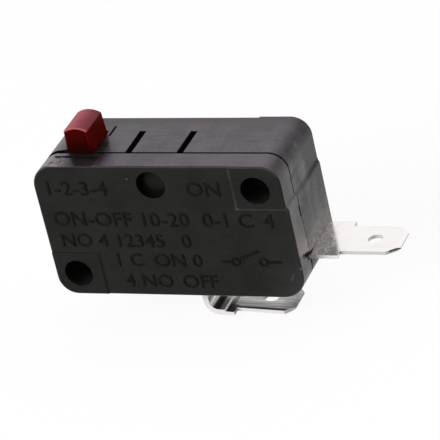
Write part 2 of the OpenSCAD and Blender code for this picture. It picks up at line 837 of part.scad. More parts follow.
// The moving contact: a rivet with a domed face that points down.
module moving_contact() {
    dome = 0.25;
    dome_r = (pow(moving_contact_r, 2) + pow(dome, 2)) / (2 * dome);
    color("#c9c2b4")
        translate([contact_x, terminal_y, arm_pivot[1] - spring_plate_t / 2])
            rotate([180, 0, 0])
                intersection() {
                    contact_rivet(moving_contact_r, moving_contact_h, spring_plate_t);
                    translate([0, 0, moving_contact_h - dome_r])
                        sphere(dome_r, $fn = 96);
                }
}

// Path of the tension spring along +X: a hook, a straight tail, the coil, and the same mirrored.
function unit(v) = v / norm(v);

function hook_path() = [
    for (i = [0 : hook_steps])
        let (a = 360 + hook_open - i * (270 + hook_open) / hook_steps)
            [hook_r * cos(a), 0, hook_r * sin(a)]];

function coil_path(len) = [
    for (i = [0 : coil_turns * turn_steps])
        let (a = 360 * i / turn_steps)
            [tail_len + (len - 2 * tail_len) * i / (coil_turns * turn_steps), coil_r * sin(a), coil_r * cos(a)]];

function far_hook_path(len) = [
    for (i = [hook_steps : -1 : 0])
        let (p = hook_path()[i])
            [len - p[0], p[1], p[2]]];

// Tangents along a path, and normals carried along it without twist.
function tangents(path) = [
    for (i = [0 : len(path) - 1])
        unit(path[min(i + 1, len(path) - 1)] - path[max(i - 1, 0)])];

function carried(normal, tangent) = unit(normal - (normal * tangent) * tangent);

function normals(along) = [
    for (i = 0, n = carried([0, 1, 0], along[0]); i < len(along);
         i = i + 1, n = i < len(along) ? carried(n, along[i]) : n) n];

// A wire of even thickness along a path.
module wire(path, r) {
    along = tangents(path);
    across = normals(along);
    rings = [
        for (i = [0 : len(path) - 1], k = [0 : wire_sides - 1])
            let (a = 360 * k / wire_sides)
                path[i] + r * (cos(a) * across[i] + sin(a) * cross(along[i], across[i]))];
    last = (len(path) - 1) * wire_sides;
    sides = [
        for (i = [0 : len(path) - 2], k = [0 : wire_sides - 1])
            let (a = i * wire_sides + k, b = i * wire_sides + (k + 1) % wire_sides)
                each [[a, a + wire_sides, b], [b, a + wire_sides, b + wire_sides]]];
    caps = [[for (k = [0 : wire_sides - 1]) k], [for (k = [wire_sides - 1 : -1 : 0]) last + k]];
    polyhedron(points = rings, faces = concat(sides, caps));
}

module tension_spring() {
    span = lever_bar - arm_bar;
    spring_len = norm(span) - hook_play;
    color("#b8bcc0")
        translate([arm_bar[0], terminal_y, arm_bar[1]])
            rotate([0, -atan2(span[1], span[0]), 0])
                wire(concat(hook_path(), coil_path(spring_len), far_hook_path(spring_len)), wire_d / 2);
}

case();
cover();
plunger();
common_terminal();
normally_open_terminal();
fixed_contact();
rest_stop();
actuating_lever();
contact_arm();
moving_contact();
tension_spring();
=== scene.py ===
# %% [markdown]
# # Dressing a micro switch
# A micro switch is a small snap-action switch: a black moulded case with its cover, a red plunger on
# top, and two tinned push-on tabs. The solids come ready from the CAD model, each one a named node.
# Here they get a camera, a studio and finishes, and the cover gets its moulded signs. The CAD shapes
# stay as they are, because other tools move and measure the same solids.

# %% Load the solids
import math
from types import SimpleNamespace

import bmesh
import bpy
from mathutils import Matrix, Vector


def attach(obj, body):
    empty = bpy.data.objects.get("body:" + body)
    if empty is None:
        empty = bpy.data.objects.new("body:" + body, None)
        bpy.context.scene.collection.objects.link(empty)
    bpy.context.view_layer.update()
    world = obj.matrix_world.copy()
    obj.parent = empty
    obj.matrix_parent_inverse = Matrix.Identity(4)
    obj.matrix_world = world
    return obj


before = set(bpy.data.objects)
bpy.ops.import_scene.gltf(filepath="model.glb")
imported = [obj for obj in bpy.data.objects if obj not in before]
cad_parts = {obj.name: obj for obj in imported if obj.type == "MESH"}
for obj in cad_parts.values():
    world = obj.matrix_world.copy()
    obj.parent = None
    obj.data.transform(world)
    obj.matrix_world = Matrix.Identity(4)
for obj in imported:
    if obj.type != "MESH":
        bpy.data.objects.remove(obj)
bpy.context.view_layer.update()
scene = bpy.context.scene
scene.view_settings.view_transform = "Standard"
MM = 0.001
X, Y, Z = range(3)
print("solids:", ", ".join(sorted(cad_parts)))

# %% [markdown]
# ## The camera
# The picture was taken from the right and from above with a long lens, and the switch lies a little
# turned in it. A camera could be placed by hand until it looks right, but here its place was worked out
# from the straight edges of the housing, so it is written as three things: where the eye is, which point
# it looks at, and how far it is rolled about its own axis.

# %% Set up the camera
EYE = Vector((122.509, -239.562, 146.282)) * MM
AIM = Vector((3.913, -5.135, -1.563)) * MM
ROLL = math.radians(-13.283)
SENSOR, LENS = 36.0, 237.24
NEAREST = 10 * MM

camera_data = bpy.data.cameras.new("camera")
camera_data.sensor_width = SENSOR
camera_data.lens = LENS
camera_data.clip_start = NEAREST
camera = bpy.data.objects.new("camera", camera_data)
scene.collection.objects.link(camera)
level = (AIM - EYE).to_track_quat("-Z", "Y").to_matrix().to_4x4()
camera.matrix_world = Matrix.Translation(EYE) @ level @ Matrix.Rotation(ROLL, 4, "Z")
scene.camera = camera
print(f"camera {(AIM - EYE).length / MM:.0f} mm away")

# %% [markdown]
# ## Shader sums
# A finish is a net of shader nodes, and most of it is plain arithmetic. Wiring every Math node by hand
# hides the idea, so one small class stands for a node's output: adding, multiplying or subtracting two
# of them makes the Math node, and `node` makes any other kind. A finish then reads like a formula.

# %% Define the class for shader outputs
class Wire:
    """One output of a shader node."""

    def __init__(self, tree, socket):
        self.tree = tree
        self.socket = socket

    def node(self, kind, settings=None, sockets=None, output=0):
        made = self.tree.nodes.new(kind)
        for name, value in (settings or {}).items():
            setattr(made, name, value)
        for name, value in (sockets or {}).items():
            if isinstance(value, Wire):
                self.tree.links.new(value.socket, made.inputs[name])
            else:
                made.inputs[name].default_value = value
        return Wire(self.tree, made.outputs[output] if made.outputs else None)

    def maths(self, operation, first, second=0.0):
        return self.node("ShaderNodeMath", {"operation": operation}, {0: first, 1: second})

    def __add__(self, other):
        return self.maths("ADD", self, other)

    def __sub__(self, other):
        return self.maths("SUBTRACT", self, other)

    def __rsub__(self, other):
        return self.maths("SUBTRACT", other, self)

    def __mul__(self, other):
        return self.maths("MULTIPLY", self, other)

    __radd__ = __add__
    __rmul__ = __mul__

    def rise(self, low, high):
        """A soft step from 0 at low to 1 at high; low may also be the higher of the two."""
        sockets = {"Value": self, "From Min": low, "From Max": high}
        return self.node("ShaderNodeMapRange", {"interpolation_type": "SMOOTHSTEP"}, sockets)

    def blend(self, first, second):
        """A colour that is the first where this is 0 and the second where this is 1."""
        pair = [value if isinstance(value, Wire) else (*value, 1) for value in (first, second)]
        sockets = {0: self, 6: pair[0], 7: pair[1]}
        return self.node("ShaderNodeMix", {"data_type": "RGBA"}, sockets, output=2)


def open_tree(owner):
    """An empty node tree of a material or the world, and a Wire to start its sums from."""
    owner.use_nodes = True
    owner.node_tree.nodes.clear()
    return Wire(owner.node_tree, None)


print("shader sums ready")

# %% [markdown]
# ## Masks
# A mask is a number from 0 to 1 that tells a shader where something is. It could be painted on an image,
# but then every solid would have to be unwrapped first. Here it is worked out from the place of a point
# on the part, in millimetres: how far it is along an axis, how close it is to a spot, or whether it lies
# in a box.

# %% Define the masks
def part_of(place, axis):
    """One of the three numbers of a place or a direction."""
    return place.node("ShaderNodeSeparateXYZ", None, {"Vector": place}, output=axis)


def across(place, axis, first, last):
    """A soft step along an axis, from 0 at the first place to 1 at the last, both in millimetres."""
    return part_of(place, axis).rise(first * MM, last * MM)


def near(place, point, reach, core=0.35):
    """1 close to a point, 0 beyond the reach in millimetres; the core is the share of it that stays 1."""
    target = tuple(v * MM for v in point)
    away = place.node("ShaderNodeVectorMath", {"operation": "DISTANCE"}, {0: place, 1: target}, output=1)
    return away.rise(reach * MM, core * reach * MM)


def within(place, low, high, soft=0.04):
    """1 inside a box given by two corners in millimetres, with a soft skin."""
    inside = 1.0
    for axis, (first, last) in enumerate(zip(low, high)):
        along = part_of(place, axis)
        inside = (inside * along.rise((first - soft) * MM, (first + soft) * MM)
                  * along.rise((last + soft) * MM, (last - soft) * MM))
    return inside


print("masks ready: across, near and within")

# %% [markdown]
# ## The studio
# Small parts are photographed on a white sweep with big soft lamps, and the room behind the photographer
# is dark. The white of the background and the light on the switch are two different things here: Light
# Path tells which kind of ray is asking, so the background can be white to the eye and to shiny metal
# while the lamps stay at a level where a colour looks as it is written.

# %% Make the surroundings
WHITE = (1, 1, 1, 1)
DARK_ROOM, RIGHT_SHADE = 0.18, 0.6
MATT_SHARE, CEILING = 0.55, 0.5


def asked_by(path, *kinds):
    """1 for rays of these kinds."""
    asked = sum(Wire(path.tree, path.socket.node.outputs[f"Is {kind} Ray"]) for kind in kinds)
    return asked.node("ShaderNodeClamp", None, {"Value": asked})


world = bpy.data.worlds.new("studio")
scene.world = world
start = open_tree(world)
path = start.node("ShaderNodeLightPath")
is_camera = asked_by(path, "Camera")
mirrored = asked_by(path, "Glossy", "Transmission")
direction = start.node("ShaderNodeTexCoord", output=0)
behind = part_of(direction, Y).rise(-0.75, 0.35)
right_side = part_of(direction, X).rise(0.1, 0.6)
room = (behind * (1 - DARK_ROOM) + DARK_ROOM) * (1 - right_side * RIGHT_SHADE)
overhead = part_of(direction, Z).rise(0.0, 0.3) * (1 - behind) * CEILING
light = room * (MATT_SHARE + mirrored * (1 - MATT_SHARE)) + mirrored * overhead
sky = start.node("ShaderNodeBackground", None, {
    "Color": WHITE, "Strength": is_camera + (1 - is_camera) * light})
start.node("ShaderNodeOutputWorld", None, {"Surface": sky})
print("studio surroundings: white behind the switch, dim behind the camera")

# %% [markdown]
# The floor is a big sheet of white paper. What mirrors see of it is painted light: bright round the
# switch, a painted shadow under it, painted shade in front, and a painted bright patch beside the tab
# that lights its cut edge. A sheet that is only lit would look grey in places, so to the eye most of its
# white is its own, and only a faint shadow is left under the switch.

# %% Lay the floor
FLOOR_Z, FLOOR_HALF = -12.2, 2.0
PAINTED_BRIGHT_PATCH, PAINTED_BRIGHT_PATCH_REACH = (17.0, -20.0, FLOOR_Z), 11
BESIDE_TABS, TABS_REACH = (14, 0, FLOOR_Z), 18
PAINTED_SHADOW_UNDER_SWITCH = ((-12.0, -8.5, -13.0), (12.5, -1.0, -11.0))
SHADED_FRONT, BRIGHT_BACK = (-17, -7), (14, 24)
GREY_PAPER, WHITE_PAPER = (0.35, 0.35, 0.35), (0.95, 0.95, 0.95)
OWN_WHITE = 0.92

floor_mesh = bpy.data.meshes.new("floor")
bm = bmesh.new()
bmesh.ops.create_grid(bm, x_segments=1, y_segments=1, size=FLOOR_HALF,
                      matrix=Matrix.Translation((0, 0, FLOOR_Z * MM)))
bm.to_mesh(floor_mesh)
bm.free()
floor = bpy.data.objects.new("floor", floor_mesh)
scene.collection.objects.link(floor)

paper = bpy.data.materials.new("white_paper")
start = open_tree(paper)
path = start.node("ShaderNodeLightPath")
is_camera = asked_by(path, "Camera")
place = start.node("ShaderNodeTexCoord", output=3)
# For mirrors: a painted pool of light round the switch, painted shade in front and a painted shadow under it
round_switch = near(place, BESIDE_TABS, TABS_REACH) * 0.42
lit = across(place, Y, *SHADED_FRONT) * (0.46 + round_switch + across(place, Y, *BRIGHT_BACK) * 0.2)
shaded = lit * (1 - within(place, *PAINTED_SHADOW_UNDER_SWITCH, soft=2.0) * 0.9)
sheet = lit.maths("MAXIMUM", shaded, near(place, PAINTED_BRIGHT_PATCH, PAINTED_BRIGHT_PATCH_REACH)) * 0.9 + 0.1
bounce = start.node("ShaderNodeBsdfDiffuse", None, {"Color": is_camera.blend(GREY_PAPER, WHITE_PAPER)})
shine = start.node("ShaderNodeEmission", None, {
    "Color": WHITE, "Strength": is_camera + (1 - is_camera) * sheet})
mixed = start.node("ShaderNodeMixShader", None, {
    0: asked_by(path, "Camera", "Glossy", "Transmission") * OWN_WHITE, 1: bounce, 2: shine})
start.node("ShaderNodeOutputMaterial", None, {"Surface": mixed})
floor_mesh.materials.append(paper)
print(f"floor at Z {FLOOR_Z:.1f} mm")

# %% [markdown]
# Three soft lamps stand round the table: one above and behind, one beside the tabs and a strong one in
# front on the left. A square area lamp is the nearest thing to a photographer's softbox. The front lamp
# would show as a white square in the glossy case, so mirrors don't see it.

# %% Hang the soft lamps
MIDDLE = Vector((0, -5, 0)) * MM


def soft_lamp(name, place, size, power, mirrored=True):
    """A square lamp that looks at the middle of the switch, with its place and size in metres."""
    lamp_data = bpy.data.lights.new(name, "AREA")
    lamp_data.shape = "SQUARE"
    lamp_data.size = size
    lamp_data.energy = power
    lamp = bpy.data.objects.new(name, lamp_data)
    scene.collection.objects.link(lamp)
    place = Vector(place)
    turn = (MIDDLE - place).to_track_quat("-Z", "Y").to_matrix().to_4x4()
    lamp.matrix_world = Matrix.Translation(place) @ turn
    lamp.visible_camera = False
    lamp.visible_glossy = mirrored
    print(f"{name}: {power} W over {size} m, {place.length:.2f} m away")


soft_lamp("top_lamp", place=(0.05, 0.16, 0.52), size=0.60, power=0.7)
soft_lamp("side_lamp", place=(0.50, 0.12, 0.18), size=0.40, power=0.9)
soft_lamp("front_lamp", place=(-0.30, -0.50, 0.30), size=0.40, power=5.0, mirrored=False)

# %% [markdown]
# ## What every finish needs
# A finish starts from Object coordinates, which on these solids are the part's own places. Noise on them
# gives a pattern whose blotches are written in millimetres, and a Bevel node finds the edges, so the
# solids keep their few faces. A finish ends in a Principled shader, with a second, dull one mixed in as
# painted shade where the surface lies deep in an opening or in shade.

# %% Define the helpers of every finish
DULL_BLACK = (0.0095, 0.0102, 0.0086)


def new_finish(name):
    material = bpy.data.materials.new(name)
    start = open_tree(material)
    return material, start, start.node("ShaderNodeTexCoord", output=3)


def spot_noise(place, size, detail=2.0, roughness=0.5):
    """Noise whose blotches are about the given size in millimetres."""
    return place.node("ShaderNodeTexNoise", None, {
        "Vector": place, "Scale": 1 / (size * MM), "Detail": detail, "Roughness": roughness})


def stretched(place, along):
    """The same coordinates, with a pattern drawn out along the axes by these factors."""
    return place.node("ShaderNodeMapping", {"vector_type": "POINT"},
                      {"Vector": place, "Scale": tuple(1 / f for f in along)})


def surface_normal(start):
    return start.node("ShaderNodeNewGeometry", output=1)


def edge_normal(start, radius):
    """The normal as it would be with edges rounded to this radius in millimetres."""
    return start.node("ShaderNodeBevel", {"samples": 6}, {"Radius": radius * MM})


def edge_wear_and_highlight(rounded):
    """1 where the rounded normal leans away from the flat one, so along the edges."""
    flat = surface_normal(rounded)
    same = rounded.node("ShaderNodeVectorMath", {"operation": "DOT_PRODUCT"}, {0: rounded, 1: flat}, output=1)
    return same.rise(0.995, 0.86)


def bumped(height, strength, depth, normal=None):
    """A normal that leans with a pattern of heights; the depth is in millimetres."""
    sockets = {"Strength": strength, "Distance": depth * MM, "Height": height}
    if normal:
        sockets["Normal"] = normal
    return height.node("ShaderNodeBump", None, sockets)


def close_finish(start, sockets, hollow=None, shade=(*DULL_BLACK, 1)):
    """Ends a finish; where hollow is 1 the surface has the painted dull shade of a deep opening."""
    surface = start.node("ShaderNodeBsdfPrincipled", None, sockets)
    if hollow:
        deep = start.node("ShaderNodeBsdfPrincipled", None, {
            "Base Color": shade, "Roughness": 0.8, "Specular IOR Level": 0.08})
        surface = start.node("ShaderNodeMixShader", None, {0: hollow, 1: surface, 2: deep})
    start.node("ShaderNodeOutputMaterial", None, {"Surface": surface})


def dress(node, material):
    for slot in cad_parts[node].material_slots:
        slot.material = material
    print(f"{node} wears {material.name}")


print("finish helpers ready")

# %% [markdown]
# ## Black moulded plastic
# The case and its cover are black thermoplastic. Up close such a moulding isn't one even black: it has a
# fine grain from the mould, faint cloudy patches where the melt flowed, flow lines along its length and
# drag lines along the way it left the mould. An image of a real surface would give these too, but it
# would repeat, so each one is a noise at its own scale and stretch.

# %% Define the marks of moulding
def mould_marks(place):
    clouds = spot_noise(place, size=3.2, detail=5.0, roughness=0.65)
    broad = spot_noise(stretched(place, (1, 1, 2.2)), size=2.6)
    flow = spot_noise(stretched(place, (16, 1, 1.3)), size=0.30, detail=3.0)
    drag = spot_noise(stretched(place, (1, 12, 1.5)), size=0.45, detail=3.0)
    return SimpleNamespace(
        flow=flow, drag=drag, grain=spot_noise(place, size=0.09),
        patch=(clouds * 0.6 + flow * 0.25 + drag * 0.15).rise(0.36, 0.64),
        streaks=(broad * 0.55 + clouds * 0.25 + drag * 0.2).rise(0.40, 0.66),
        specks=spot_noise(place, size=0.6, detail=4.0, roughness=0.7).rise(0.3, 0.7))


print("marks of moulding ready: flow, drag, grain, patch, streaks and specks")

# %% [markdown]
# The sides of the moulding don't look alike. The front is matt and dark, the top mirrors the sky in
# lilac, and the end wall at the side tab is streaked, with a pale film low down that stops at a slanting
# line. In front of the plunger the top is painted darker, as a painted reflection of the plunger, and the
# corner beside it is scuffed. The faces could have a material each, but they run into each other over
# round corners, so masks blend the colours. A pair of numbers is where such a blend starts and where it
# ends.

# %% Colour the sides
BLACK, BLACK_PALE = (0.014, 0.014, 0.0135), (0.030, 0.030, 0.029)
LILAC, LILAC_PALE = (0.002, 0.001, 0.002), (0.046, 0.038, 0.047)
END, END_PALE = (0.001, 0.002, 0.001), (0.135, 0.139, 0.131)
FRONT, FRONT_PALE = (0.0115, 0.0128, 0.0106), (0.0160, 0.0172, 0.0148)
FILM = (0.290, 0.262, 0.252)
FRONT_SKIN, END_SKIN, TOP_SKIN = (-10.02, -10.14), (13.25, 13.9), (6.2, 7.6)
COVER_SKIN, REAR_FADE = (-7.3, -7.6), (-2.6, -0.5)
PALER_UP, FILM_DOWN = (-1.0, 4.0), (0.0, -4.5)
FILM_FOOT, FOOT_SLOPE = (-8.5, -8.1), 0.55
PLUNGER_REFLECTION_SPOT, PLUNGER_REFLECTION_SPOT_REACH = (-8.3, -7.9, 7.95), 4.2
SCUFFED, SCUFF_REACH = (-11.6, -9.1, 7.85), 2.6


def side_masks(place):
    front = across(place, Y, *FRONT_SKIN)
    end = across(place, X, *END_SKIN)
    return SimpleNamespace(front=front, end=end, top=across(place, Z, *TOP_SKIN) * (1 - end))


def end_film(place, marks):
    """How much pale film a place has, if it is on the end wall."""
    first, last = FILM_FOOT
    above_foot = (part_of(place, Z) + part_of(place, Y) * FOOT_SLOPE).rise(first * MM, last * MM)
    low_end = across(place, Z, *FILM_DOWN) * above_foot
    on_cover = across(place, Y, *COVER_SKIN)
    return low_end * (on_cover * 0.68 + marks.drag * 0.3 + marks.specks * 0.9) + on_cover * above_foot * 0.2


def side_colour(place, marks, sides):
    # Painted reflection of the plunger: in front of it the lilac is painted out.
    still = marks.patch * (1 - across(place, Y, *REAR_FADE)) * (1 - near(place, PLUNGER_REFLECTION_SPOT, PLUNGER_REFLECTION_SPOT_REACH) * 0.8)
    streaks = marks.streaks * (0.7 + across(place, Z, *PALER_UP) * 0.5)
    scuffed = near(place, SCUFFED, SCUFF_REACH) * marks.specks * (1 - sides.front)
    colour = sides.top.blend(marks.patch.blend(BLACK, BLACK_PALE), still.blend(LILAC, LILAC_PALE))
    colour = sides.end.blend(colour, streaks.blend(END, END_PALE))
    colour = (sides.end * end_film(place, marks)).blend(colour, FILM)
    colour = (scuffed * 0.7).blend(colour, FILM)
    return sides.front.blend(colour, marks.patch.blend(FRONT, FRONT_PALE))


print("colours of the sides ready")

# %% [markdown]
# Handling leaves its own marks on top: the edges are rubbed a little paler, and here and there sits a
# speck. Round the upper hole's pad the edges carry a painted highlight in the same pale colour, and a
# pale spot on the front right edge, level with the side tab, is a painted glint. Each speck is a spot
# with a ragged rim, because a clean round one would look like a bubble.

# %% Rub the edges, paint the highlights and scatter the specks
WORN_AND_HIGHLIGHT = (0.075, 0.073, 0.070)
UPPER_PAD_HIGHLIGHT_EDGES = [((8.48, -10.4, 2.85), (8.74, -10.1, 7.6)), ((8.48, -10.4, 2.82), (14.1, -10.1, 3.06))]
PALE_SPECK, GREY_SPECK, DARK_SPECK = (0.16, 0.16, 0.16), (0.050, 0.050, 0.048), (0.004, 0.004, 0.004)
EDGE_GLINT = (0.16, 0.16, 0.155)
SPECKS = [((-2.87, -10.2, 6.46), 0.15, 0.6, PALE_SPECK),
          ((13.22, -10.2, -4.88), 0.20, 0.9, GREY_SPECK),
          ((13.06, -10.2, -5.18), 0.20, 0.9, GREY_SPECK),
          ((12.86, -10.2, -5.48), 0.22, 0.9, GREY_SPECK),
          # A painted glint on the front right edge, not a speck.
          ((14.2, -10.15, -4.17), 0.24, 0.8, EDGE_GLINT),
          ((-0.9, -5.4, 7.95), 0.22, 0.8, DARK_SPECK),
          ((10.9, -1.7, 7.95), 0.22, 0.8, DARK_SPECK)]


def rubbed_and_highlit_colour(place, marks, sides, wear, colour):
    colour = (wear * (0.45 - sides.front * 0.2)).blend(colour, WORN_AND_HIGHLIGHT)
    # Painted highlight along the edges of the upper hole's pad.
    pad_highlight = sum(within(place, *box) for box in UPPER_PAD_HIGHLIGHT_EDGES)
    colour = (pad_highlight * (0.1 + marks.patch * 0.4)).blend(colour, WORN_AND_HIGHLIGHT)
    for point, reach, strength, tint in SPECKS:
        ragged = spot_noise(place, size=reach * 0.5).rise(0.3, 0.6)
        colour = (near(place, point, reach) * ragged * strength).blend(colour, tint)
    return colour


print(f"rubbed edges and {len(SPECKS)} specks ready")

# %% [markdown]
# Light gets lost in slots, holes and the parting line between case and cover. Black plastic would still
# shine there, because its gloss mirrors the bright studio, so boxes mark the openings and the shader
# paints a dull black shade in them. Walls that only lie in shade get a share of this painted shade, and
# so does a patch in front of the plunger, as a painted dark reflection of it. The torn corner at the side
# tab gets painted shade as a row of small dark spots.

# %% Mark the deep places
OPENINGS = {
    "left lever slot": ((-3.9, -7.5, 5.5), (-3.0, -3.0, 7.86)),
    "right lever slot": ((1.9, -7.5, 5.5), (2.8, -3.0, 7.86)),
    "slit": ((-7.1, -4.05, 5.5), (-6.82, -2.05, 7.96)),
    "plunger opening": ((-10.8, -7.6, 5.5), (-7.2, -2.9, 7.8)),
    "corner gap": ((-13.8, -7.5, 6.0), (-10.5, -6.87, 7.9)),
    "lip recess": ((-11.5, -8.22, 7.78), (-6.5, -8.12, 7.92)),
    "mouth of the side tab": ((12.8, -8.25, -4.6), (14.2, -6.1, -3.72)),
    "parting line below the tab": ((14.05, -7.6, -7.3), (14.3, -7.32, -4.45)),
    "parting line above": ((-13.7, -7.55, 1.0), (13.96, -7.35, 8.0))}
# Painted shade in the gap at the torn corner by the side tab.
TORN_CORNER_SHADE = [((14.25, -7.7, -3.88), 0.36), ((14.25, -8.15, -3.72), 0.42),
               ((14.25, -8.6, -3.5), 0.3), ((14.25, -9.0, -3.28), 0.24)]
HOLES = [((-12.8, -10.0, -6.9), (-9.4, -0.4, -3.4)), ((9.4, -10.0, 3.4), (12.8, -0.4, 6.9))]
DIMPLE, DIMPLE_FLOOR = ((-2.1, -10.14, 3.9), (1.4, -9.0, 7.5)), (-0.2, -9.3, 5.92)
END_BELOW_TAB = ((14.0, -7.3, -7.7), (14.4, -0.4, -4.55))
LOWER_PAD_TOP = ((-13.8, -10.32, -2.9), (-8.3, -10.16, -2.6))
LOWER_PAD_SIDE = ((-8.32, -10.35, -7.6), (-8.06, -10.1, -2.7))
SHADED = [(DIMPLE, 0.85), (END_BELOW_TAB, 0.3), (LOWER_PAD_TOP, 0.7), (LOWER_PAD_SIDE, 0.55)]
# Painted dark reflection of the plunger on the top in front of it.
PLUNGER_REFLECTION_SHADE, PLUNGER_REFLECTION_SHADE_REACH = (-8.9, -8.7, 7.9), 2.6
PITCH_BLACK = (0.001, 0.001, 0.001)


def deep_places(place):
    """How far each place gets painted shade, and the colour of that shade."""
    # Painted shade on the dimple's wall, fading out towards its floor.
    dimple_wall = within(place, *DIMPLE) * (1 - near(place, DIMPLE_FLOOR, 1.55, core=0.7))
    opened = (sum(within(place, *box) for box in OPENINGS.values())
              + sum(near(place, point, reach) for point, reach in TORN_CORNER_SHADE)
              + sum(within(place, *box) * 0.5 for box in HOLES)
              + dimple_wall * 0.75)
    hollow = opened * 1.5 + sum(within(place, *box) * depth for box, depth in SHADED)
    hollow = hollow + near(place, PLUNGER_REFLECTION_SHADE, PLUNGER_REFLECTION_SHADE_REACH) * 0.4
    return hollow, opened.blend(DULL_BLACK, PITCH_BLACK)


print("openings:", ", ".join(OPENINGS))

# %% [markdown]
# With its marks, colours and deep places ready, the finish itself is short. The case and the cover get
# one each, because the cover came out of its own mould and is a little less glossy. The gloss has a faint
# tint, which makes the mirrored sky look lilac.

# %% Mould the case and the cover
GLOSS_TINT = (1.0, 0.88, 1.0, 1)


def moulded_black(name, gloss):
    material, start, place = new_finish(name)
    marks, sides = mould_marks(place), side_masks(place)
    rounded = edge_normal(start, radius=0.05)
    wear = edge_wear_and_highlight(rounded) * spot_noise(place, size=0.8, detail=3.0).rise(0.35, 0.7)
    colour = rubbed_and_highlit_colour(place, marks, sides, wear, side_colour(place, marks, sides))
    height = marks.grain * 0.7 + marks.flow * 0.8 + marks.drag * (1 - sides.front) * 0.5
    matt = marks.patch * 0.08 + marks.grain * 0.06 + (sides.front + sides.end + sides.top) * 0.08
    close_finish(start, {
        "Base Color": colour, "Roughness": gloss + matt - wear * 0.08,
        "Specular IOR Level": 0.66, "Specular Tint": GLOSS_TINT,
        "Normal": bumped(height, strength=0.25, depth=0.02, normal=rounded)}, *deep_places(place))
    return material


dress("case", moulded_black("case_black", gloss=0.14))
dress("cover", moulded_black("cover_black", gloss=0.16))

# %% [markdown]
# ## Signs on the cover
# A cover carries its signs as low letters that stand out of the moulding by a tenth of a millimetre,
# because a mould is easier to cut into than to leave standing. Here they are plain terminal names,
# numbers and ON and OFF. Letters could be modelled one by one, but a text curve has them ready: each word
# is such a curve turned into a mesh, then brought to its height, drawn out a little and turned to face
# forward.

# %% Raise the words
FACE_Y = -10.2
SIGN_DEPTH, SIGN_ROOT = 0.10, 0.03
SIGN_THICK, SIGN_MIDDLE_Y = SIGN_DEPTH + SIGN_ROOT, FACE_Y - (SIGN_DEPTH - SIGN_ROOT) / 2
SIGN, SIGN_PALE = (0.005, 0.005, 0.0045), (0.011, 0.011, 0.010)
LETTER_STRETCH, CURVE_SIZE, CURVE_STEPS = 1.05, 2.0, 3
SAME_PLACE = 0.001
TALL, LOW = 1.65, 1.55
WORD_ROWS = [(4.45, TALL, [(-12.2, "1-2-3-4"), (3.5, "ON")]),
             (0.75, TALL, [(-12.4, "ON-OFF"), (-2.2, "10-20"), (4.5, "0-1"), (8.5, "C"), (11.2, "4")]),
             (-1.8, LOW, [(-12.1, "NO 4"), (-5.6, "12345"), (1.6, "0")]),
             (-4.15, LOW, [(-6.2, "1 C"), (-2.0, "ON 0")]),
             (-6.7, LOW, [(-5.9, "4 NO"), (0.7, "OFF")])]


def sign_finish(name):
    material, start, place = new_finish(name)
    patch = spot_noise(place, size=0.7, detail=4.0, roughness=0.65).rise(0.3, 0.7)
    grain = spot_noise(place, size=0.09)
    # Painted shade on the side walls of the letters.
    shaded_wall = part_of(surface_normal(start), Y).rise(-0.8, -0.4)
    close_finish(start, {
        "Base Color": patch.blend(SIGN, SIGN_PALE), "Roughness": 0.35 + grain * 0.1,
        "Specular IOR Level": 0.3, "Normal": bumped(grain, strength=0.25, depth=0.02)}, shaded_wall * 0.85)
    return material


def add_word(bm, words, left, foot, height):
    """Adds one word to a mesh, from its left end and standing on its foot."""
    curve = bpy.data.curves.new("word", "FONT")
    curve.body, curve.size, curve.resolution_u = words, CURVE_SIZE, CURVE_STEPS
    curve.extrude = SIGN_THICK / 2
    lettering = bpy.data.objects.new("word", curve)
    scene.collection.objects.link(lettering)
    flat = bpy.data.meshes.new_from_object(lettering.evaluated_get(bpy.context.evaluated_depsgraph_get()))
    bpy.data.objects.remove(lettering)
    xs, zs = [v.co.x for v in flat.vertices], [v.co.y for v in flat.vertices]
    grow = height / (max(zs) - min(zs))
    home = Matrix.Translation((-min(xs), -min(zs), 0))
    fit = Matrix.Diagonal((grow * LETTER_STRETCH, grow, 1, 1))
    stand = Matrix.Translation((left, SIGN_MIDDLE_Y, foot)) @ Matrix.Rotation(math.radians(90), 4, "X")
    flat.transform(Matrix.Scale(MM, 4) @ stand @ fit @ home)
    bm.from_mesh(flat)
    bpy.data.meshes.remove(flat)


def add_sign_piece(name, bm, material):
    bmesh.ops.remove_doubles(bm, verts=bm.verts, dist=SAME_PLACE * MM)
    bmesh.ops.recalc_face_normals(bm, faces=bm.faces)
    mesh = bpy.data.meshes.new(name)
    bm.to_mesh(mesh)
    bm.free()
    mesh.materials.append(material)
    piece = bpy.data.objects.new(name, mesh)
    scene.collection.objects.link(piece)
    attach(piece, "housing")
    print(f"{name}: {len(mesh.polygons)} faces")


sign_black = sign_finish("sign_black")
bm = bmesh.new()
for foot, height, words in WORD_ROWS:
    for left, word in words:
        add_word(bm, word, left, foot, height)
add_sign_piece("raised_words", bm, sign_black)

# %% [markdown]
# The contact sign is the drawing of a switch: two small rings for the contacts, a bar to each of them and
# a slanting bar for the arm. No letter has these shapes, so the bars are cubes drawn out to their length,
# and each ring is a small oblong outline spun round the ring's middle.

# %% Draw the contact sign
LINE_Z, RINGS_X = -3.4, (7.15, 10.25)
SIGN_BARS = [((5.6, LINE_Z), (6.9, LINE_Z)), ((7.3, -3.2), (9.9, -2.1)), ((10.5, LINE_Z), (12.2, LINE_Z))]
BAR_W, RING_R, RING_W, RING_STEPS = 0.24, 0.36, 0.16, 32

